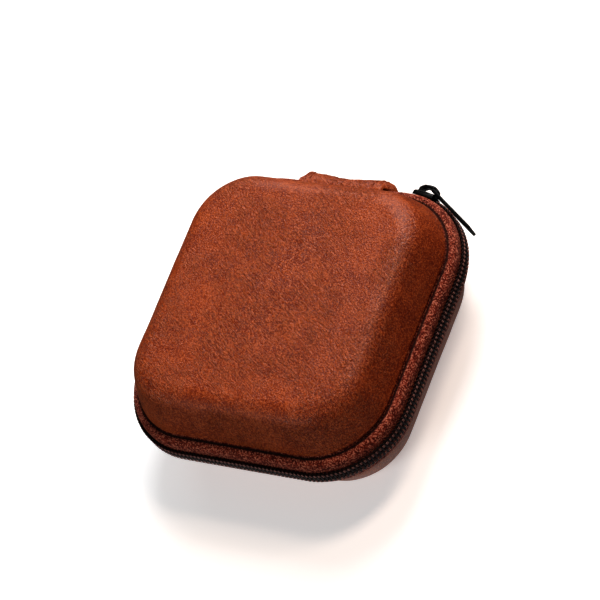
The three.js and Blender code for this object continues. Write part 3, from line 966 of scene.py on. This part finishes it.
def pocket(look):
    """A hexagonal net stretched over the front half of the lid, with an elastic along its open edge."""
    edge_y, reach, level = 2.2, 32.3, 5.45
    cell = look.net_cell
    side = cell / math.sqrt(3)
    points, index, edges = [], {}, set()

    def corner_of(x, y):
        key = (round(x * 50), round(y * 50))
        if key not in index:
            index[key] = len(points)
            points.append((x, y))
        return index[key]

    def inside(x, y):
        dx, dy = max(abs(x) - CORNER, 0), max(abs(y) - CORNER, 0)
        return y < edge_y + 0.4 and math.hypot(dx, dy) < reach - CORNER

    for i in range(-40, 41):
        for j in range(-30, 31):
            cx, cy = cell * (i + (j % 2) / 2), side * 1.5 * j
            ring = [(cx + side * math.sin(a), cy + side * math.cos(a)) for a in np.arange(6) * math.pi / 3]
            for (x0, y0), (x1, y1) in zip(ring, ring[1:] + ring[:1]):
                if inside(x0, y0) and inside(x1, y1):
                    edges.add(tuple(sorted((corner_of(x0, y0), corner_of(x1, y1)))))
    lifted = []
    for x, y in points:
        span = max(0.0, 1 - (x / reach) ** 2) * max(0.0, min(1.0, (y + reach) / 16))
        bag = 0.55 * span * (0.7 + 0.3 * noise.noise(Vector((x * 0.08, y * 0.08, 1))))
        lifted.append((x, y, HALF + level - bag))
    mesh = bpy.data.meshes.new("net")
    mesh.from_pydata((np.array(lifted) * MM).tolist(), sorted(edges), [])
    carrier = bpy.data.objects.new("net", mesh)
    bpy.context.scene.collection.objects.link(carrier)
    yarn = thread_finish("Net yarn", look.net)
    values = {"Thread radius": 0.16 * MM, "Sides": 4, "Finish": yarn}
    net = grown("pocket_net", carrier, net_tree(), values, yarn)
    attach(net, "lid")
    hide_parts("mesh_pocket")
    greys = [(level,) * 3 for level in (0.005, 0.015, 0.045)]
    elastic_cloth = weave_finish("Elastic", *greys, (0.42, 0.55), 0.25, 0.00016, 0.0)
    xs = np.linspace(-reach, reach, 150)
    count = 26
    verts, uv = [], []
    for x in xs:
        wave = 0.16 * math.sin(x * 2.1) + 0.1 * math.sin(x * 0.9 + 1)
        for k in range(count):
            a = 2 * math.pi * k / count
            y = 2.5 * np.sign(math.cos(a)) * abs(math.cos(a)) ** 0.35
            z = 0.38 * np.sign(math.sin(a)) * abs(math.sin(a)) ** 0.5
            rib = 0.07 * math.sin(y * 9) * (1 if z > 0 else -1)
            pinch = 1 - 0.1 * abs(x / reach) ** 4
            verts.append((x, edge_y + 2.6 + y * pinch, HALF + level - 0.1 + z + rib + wave * (0.5 + y / 5)))
            uv.append((x, y + 3 if z > 0 else 9 - y))
    faces = grid_faces(len(xs), count, False, True)
    faces += [tuple(range(count)), tuple((len(xs) - 1) * count + i for i in range(count)[::-1])]
    band = new_object("elastic_band", verts, faces, elastic_cloth, uv)
    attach(band, "lid")
    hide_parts("pocket_elastic")


def slider_frame():
    """Turns (x along the slider, y outwards, z across the chain) into the case's own millimetres."""
    return (
        Matrix.Translation((CORNER, CORNER, HALF))
        @ Matrix.Rotation(-SLIDER_TURN, 4, "Z")
        @ Matrix.Translation((0, -CORNER, 0))
    )


def rounded(points, radius, steps=5):
    """A closed outline with each corner rounded by radius."""
    result = []
    count = len(points)
    for i in range(count):
        before, here, after = (np.array(points[(i + k) % count], float) for k in (-1, 0, 1))
        a, b = before - here, after - here
        ra = min(radius, np.linalg.norm(a) * 0.45)
        rb = min(radius, np.linalg.norm(b) * 0.45)
        p0, p1 = here + a / np.linalg.norm(a) * ra, here + b / np.linalg.norm(b) * rb
        for t in np.linspace(0, 1, steps):
            result.append(tuple((1 - t) ** 2 * p0 + 2 * t * (1 - t) * here + t**2 * p1))
    return result


def slider(zip_look):
    """Two plates joined by a neck, flanges that close on the chain, and the crown over the front."""
    enamel = enamel_finish(zip_look)
    place = slider_frame()
    lay = place @ Matrix(((1, 0, 0, 0), (0, 0, 1, 0), (0, 1, 0, 0), (0, 0, 0, 1)))
    half = [(-3.35, 1.5), (-2.8, 2.2), (-1.3, 2.6), (1.2, 2.5), (3.35, 2.05)]
    shield = rounded(half + [(x, -y) for x, y in half[::-1]], 0.7)
    back = rounded([(x, y * 0.88) for x, y in half] + [(x, y * -0.88) for x, y in half[::-1]], 0.7)
    neck = rounded([(-3.3, 0), (-2.7, 0.4), (-1.9, 0.3), (-1.6, 0), (-1.9, -0.3), (-2.7, -0.4)], 0.2)
    loops = [([shield], 40.68, 41.3, 0.18), ([back], 36.95, 37.95, 0.22), ([neck], 37.4, 41.2, 0.05)]
    rail = [(-2.9, 2.1), (0.5, 2.12), (3.2, 2.02), (3.2, 2.2), (0.8, 2.5), (-1.3, 2.58), (-2.9, 2.3)]
    for sign in (1, -1):
        loops.append(([rounded([(x, y * sign) for x, y in rail], 0.12)], 39.95, 41.0, 0.05))
    body = plates("slider_shell", loops, enamel, lay)
    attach(body, "slider")
    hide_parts("slider_body")
    arch = [
        (-2.9, 41.15), (-2.75, 43.0), (-1.7, 43.85), (0.2, 44.05), (1.9, 43.85), (2.8, 43.2), (3.1, 42.4),
        (3.1, 41.15),
        (2.35, 41.15), (2.35, 42.9), (1.85, 43.22), (-0.8, 43.22), (-1.6, 42.8), (-1.7, 41.15),
    ]
    crown = plates("slider_bridge", [([rounded(arch, 0.35)], -0.95, 0.95, 0.26)], enamel, place)
    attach(crown, "slider")
    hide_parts("slider_crown")


def puller():
    """The flat tab: a window for the crown at one end, a waist, and a broad rounded tip."""
    enamel = bpy.data.materials["Black enamel"]
    place = (
        slider_frame()
        @ Matrix.Translation((PIVOT[0], PIVOT[1], 0))
        @ Matrix.Rotation(TAB_TURN, 4, "Z")
        @ Matrix(((1, 0, 0, 0), (0, 0, 1, 0), (0, 1, 0, 0), (0, 0, 0, 1)))
    )
    edge = [(-0.42, 1.75), (1.2, 1.95), (4.9, 1.9), (6.6, 1.6), (11, 1.85), (17.5, 2.3)]
    outline = rounded(edge + [(x, -y) for x, y in edge[::-1]], 0.6, 6)
    window = rounded([(0.4, -1.15), (4.7, -1.15), (4.7, 1.15), (0.4, 1.15)], 0.35, 4)
    slot = rounded([(11.2, -0.7), (15.2, -0.85), (15.2, 0.85), (11.2, 0.7)], 0.5, 5)
    raised = rounded([(7.6, -1.1), (16.7, -1.6), (16.7, 1.6), (7.6, 1.1)], 0.7, 6)
    tab = plates("tab", [([outline, window], -0.4, 0.4, 0.16)], enamel, place)
    rim = plates("tab", [([raised, slot], -0.46, 0.46, 0.08)], enamel, place)
    whole = joined("puller", [tab, rim])
    whole.data.set_sharp_from_angle(angle=math.radians(38))
    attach(whole, "puller")
    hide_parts("puller_tab")


# ---- Stage ----
CAMERA_AT = Vector((0.47791, -0.30581, 0.67971 + HALF * MM))
LOOK = Vector((-0.54057, 0.35192, -0.76416)).normalized()
UP = Vector((-0.11945, 0.86700, 0.48378)).normalized()


def softbox(name, direction, distance, size, power, colour=(1, 1, 1)):
    light = bpy.data.lights.new(name, "AREA")
    light.shape, light.size, light.size_y = "RECTANGLE", size[0], size[1]
    light.energy, light.color = power, colour
    obj = bpy.data.objects.new(name, light)
    aim = Vector((0, 0, HALF * MM))
    obj.location = aim + Vector(direction).normalized() * distance
    obj.rotation_mode = "QUATERNION"
    obj.rotation_quaternion = (aim - obj.location).to_track_quat("-Z", "Y")
    bpy.context.scene.collection.objects.link(obj)


def stage(look):
    m = Shader("Floor paper")
    grain = m.noise(900, 2)
    pale = m.blend(grain, rgba(look.floor, 0.985), rgba(look.floor))
    paper = m.finish(Base_Color=pale, Roughness=0.75, Specular_IOR_Level=0.2, Emission_Strength=look.glow)
    m.surface.inputs["Emission Color"].default_value = (1, 1, 1, 1)
    reach = 4000
    corners = [(-reach, -reach, 0), (reach, -reach, 0), (reach, reach, 0), (-reach, reach, 0)]
    floor = new_object("floor", corners, [(0, 1, 2, 3)], paper, smooth=False)
    # The bounce light stands in for what the floor would throw back.
    floor.visible_diffuse = floor.visible_glossy = floor.visible_shadow = False
    world = bpy.data.worlds.new("Studio")
    world.use_nodes = True
    world.node_tree.nodes["Background"].inputs[0].default_value = (1, 1, 1, 1)
    world.node_tree.nodes["Background"].inputs[1].default_value = look.sky
    bpy.context.scene.world = world
    side = LOOK.cross(UP)
    softbox("Key", (-0.08, 0.66, 0.74), 0.9, (0.34, 0.34), look.key)
    softbox("Back", (-0.27, 0.88, 0.3), 0.9, (1.0, 0.35), look.back)
    softbox("Ridge", (0.36, 0.42, 0.83), 0.9, (0.16, 0.3), look.ridge, (1, 0.78, 0.64))
    softbox("Bounce", (0.25, -0.35, -0.9), 0.8, (1.6, 1.6), look.bounce)
    softbox("Fill", (-0.3, -0.8, 0.5), 1.1, (0.6, 0.4), look.fill)
    camera = bpy.data.objects.new("Camera", bpy.data.cameras.new("Camera"))
    camera.data.lens, camera.data.sensor_width = look.lens, 36
    camera.data.clip_start, camera.data.clip_end = 0.01, 30
    camera.matrix_world = Matrix.Translation(CAMERA_AT) @ Matrix((side, UP, -LOOK)).transposed().to_4x4()
    bpy.context.scene.collection.objects.link(camera)
    bpy.context.scene.camera = camera
    bpy.context.scene.view_settings.view_transform = "Standard"
    bpy.context.scene.view_settings.look = "High Contrast"


# ---- Operators ----
class CASE_OT_shells(bpy.types.Operator):
    """Build the two leatherette shells"""

    bl_idname = "case.shells"
    bl_label = "Shells"

    def execute(self, context):
        shells(context.scene.case_look)
        return {"FINISHED"}


class CASE_OT_foam(bpy.types.Operator):
    """Give the moulded foam cores their finish"""

    bl_idname = "case.foam"
    bl_label = "Foam cores"

    def execute(self, context):
        foam_cores()
        return {"FINISHED"}


class CASE_OT_linings(bpy.types.Operator):
    """Build the knitted linings"""

    bl_idname = "case.linings"
    bl_label = "Linings"

    def execute(self, context):
        linings(context.scene.case_look)
        return {"FINISHED"}


class CASE_OT_bindings(bpy.types.Operator):
    """Build the ribbon that binds each rim, and its stitches"""

    bl_idname = "case.bindings"
    bl_label = "Rim bindings"

    def execute(self, context):
        bindings()
        return {"FINISHED"}


class CASE_OT_tapes(bpy.types.Operator):
    """Build the woven zip tapes"""

    bl_idname = "case.tapes"
    bl_label = "Zip tapes"

    def execute(self, context):
        tapes(context.scene.zip_look)
        return {"FINISHED"}


class CASE_OT_chain(bpy.types.Operator):
    """Build the interlocked nylon coils and their sewing"""

    bl_idname = "case.chain"
    bl_label = "Zip chain"

    def execute(self, context):
        chain(context.scene.zip_look, context.scene.stage_look.seed)
        return {"FINISHED"}


class CASE_OT_gusset(bpy.types.Operator):
    """Build the gusset that hinges the lid, its stitches and its lining"""

    bl_idname = "case.gusset"
    bl_label = "Gusset"

    def execute(self, context):
        gusset(context.scene.case_look)
        return {"FINISHED"}


class CASE_OT_pocket(bpy.types.Operator):
    """Build the net pocket and its elastic"""

    bl_idname = "case.pocket"
    bl_label = "Net pocket"

    def execute(self, context):
        pocket(context.scene.case_look)
        return {"FINISHED"}


class CASE_OT_slider(bpy.types.Operator):
    """Build the slider and its crown"""

    bl_idname = "case.slider"
    bl_label = "Slider"

    def execute(self, context):
        slider(context.scene.zip_look)
        return {"FINISHED"}


class CASE_OT_puller(bpy.types.Operator):
    """Build the tab that pulls the slider"""

    bl_idname = "case.puller"
    bl_label = "Puller"

    def execute(self, context):
        puller()
        return {"FINISHED"}


class CASE_OT_stage(bpy.types.Operator):
    """Set up the floor, the lights and the camera"""

    bl_idname = "case.stage"
    bl_label = "Stage"

    def execute(self, context):
        stage(context.scene.stage_look)
        return {"FINISHED"}


OPERATORS = (
    CASE_OT_shells,
    CASE_OT_foam,
    CASE_OT_linings,
    CASE_OT_bindings,
    CASE_OT_tapes,
    CASE_OT_chain,
    CASE_OT_gusset,
    CASE_OT_pocket,
    CASE_OT_slider,
    CASE_OT_puller,
    CASE_OT_stage,
)


class CASE_PT_panel(bpy.types.Panel):
    """Lists the steps that build the case."""

    bl_idname = "CASE_PT_panel"
    bl_label = "Earphone case"
    bl_space_type = "VIEW_3D"
    bl_region_type = "UI"
    bl_category = "Earphone case"

    def draw(self, context):
        for operator in OPERATORS:
            self.layout.operator(operator.bl_idname)


SETTINGS = {"case_look": CaseLook, "zip_look": ZipLook, "stage_look": StageLook}


def register():
    for group in SETTINGS.values():
        bpy.utils.register_class(group)
    for name, group in SETTINGS.items():
        setattr(bpy.types.Scene, name, PointerProperty(type=group))
    for item in (*OPERATORS, CASE_PT_panel):
        bpy.utils.register_class(item)


def unregister():
    for item in (CASE_PT_panel, *reversed(OPERATORS)):
        bpy.utils.unregister_class(item)
    for name, group in SETTINGS.items():
        delattr(bpy.types.Scene, name)
        bpy.utils.unregister_class(group)


def main():
    register()
    for operator in OPERATORS:
        prefix, name = operator.bl_idname.split(".")
        getattr(getattr(bpy.ops, prefix), name)()


if __name__ == "__main__":
    main()
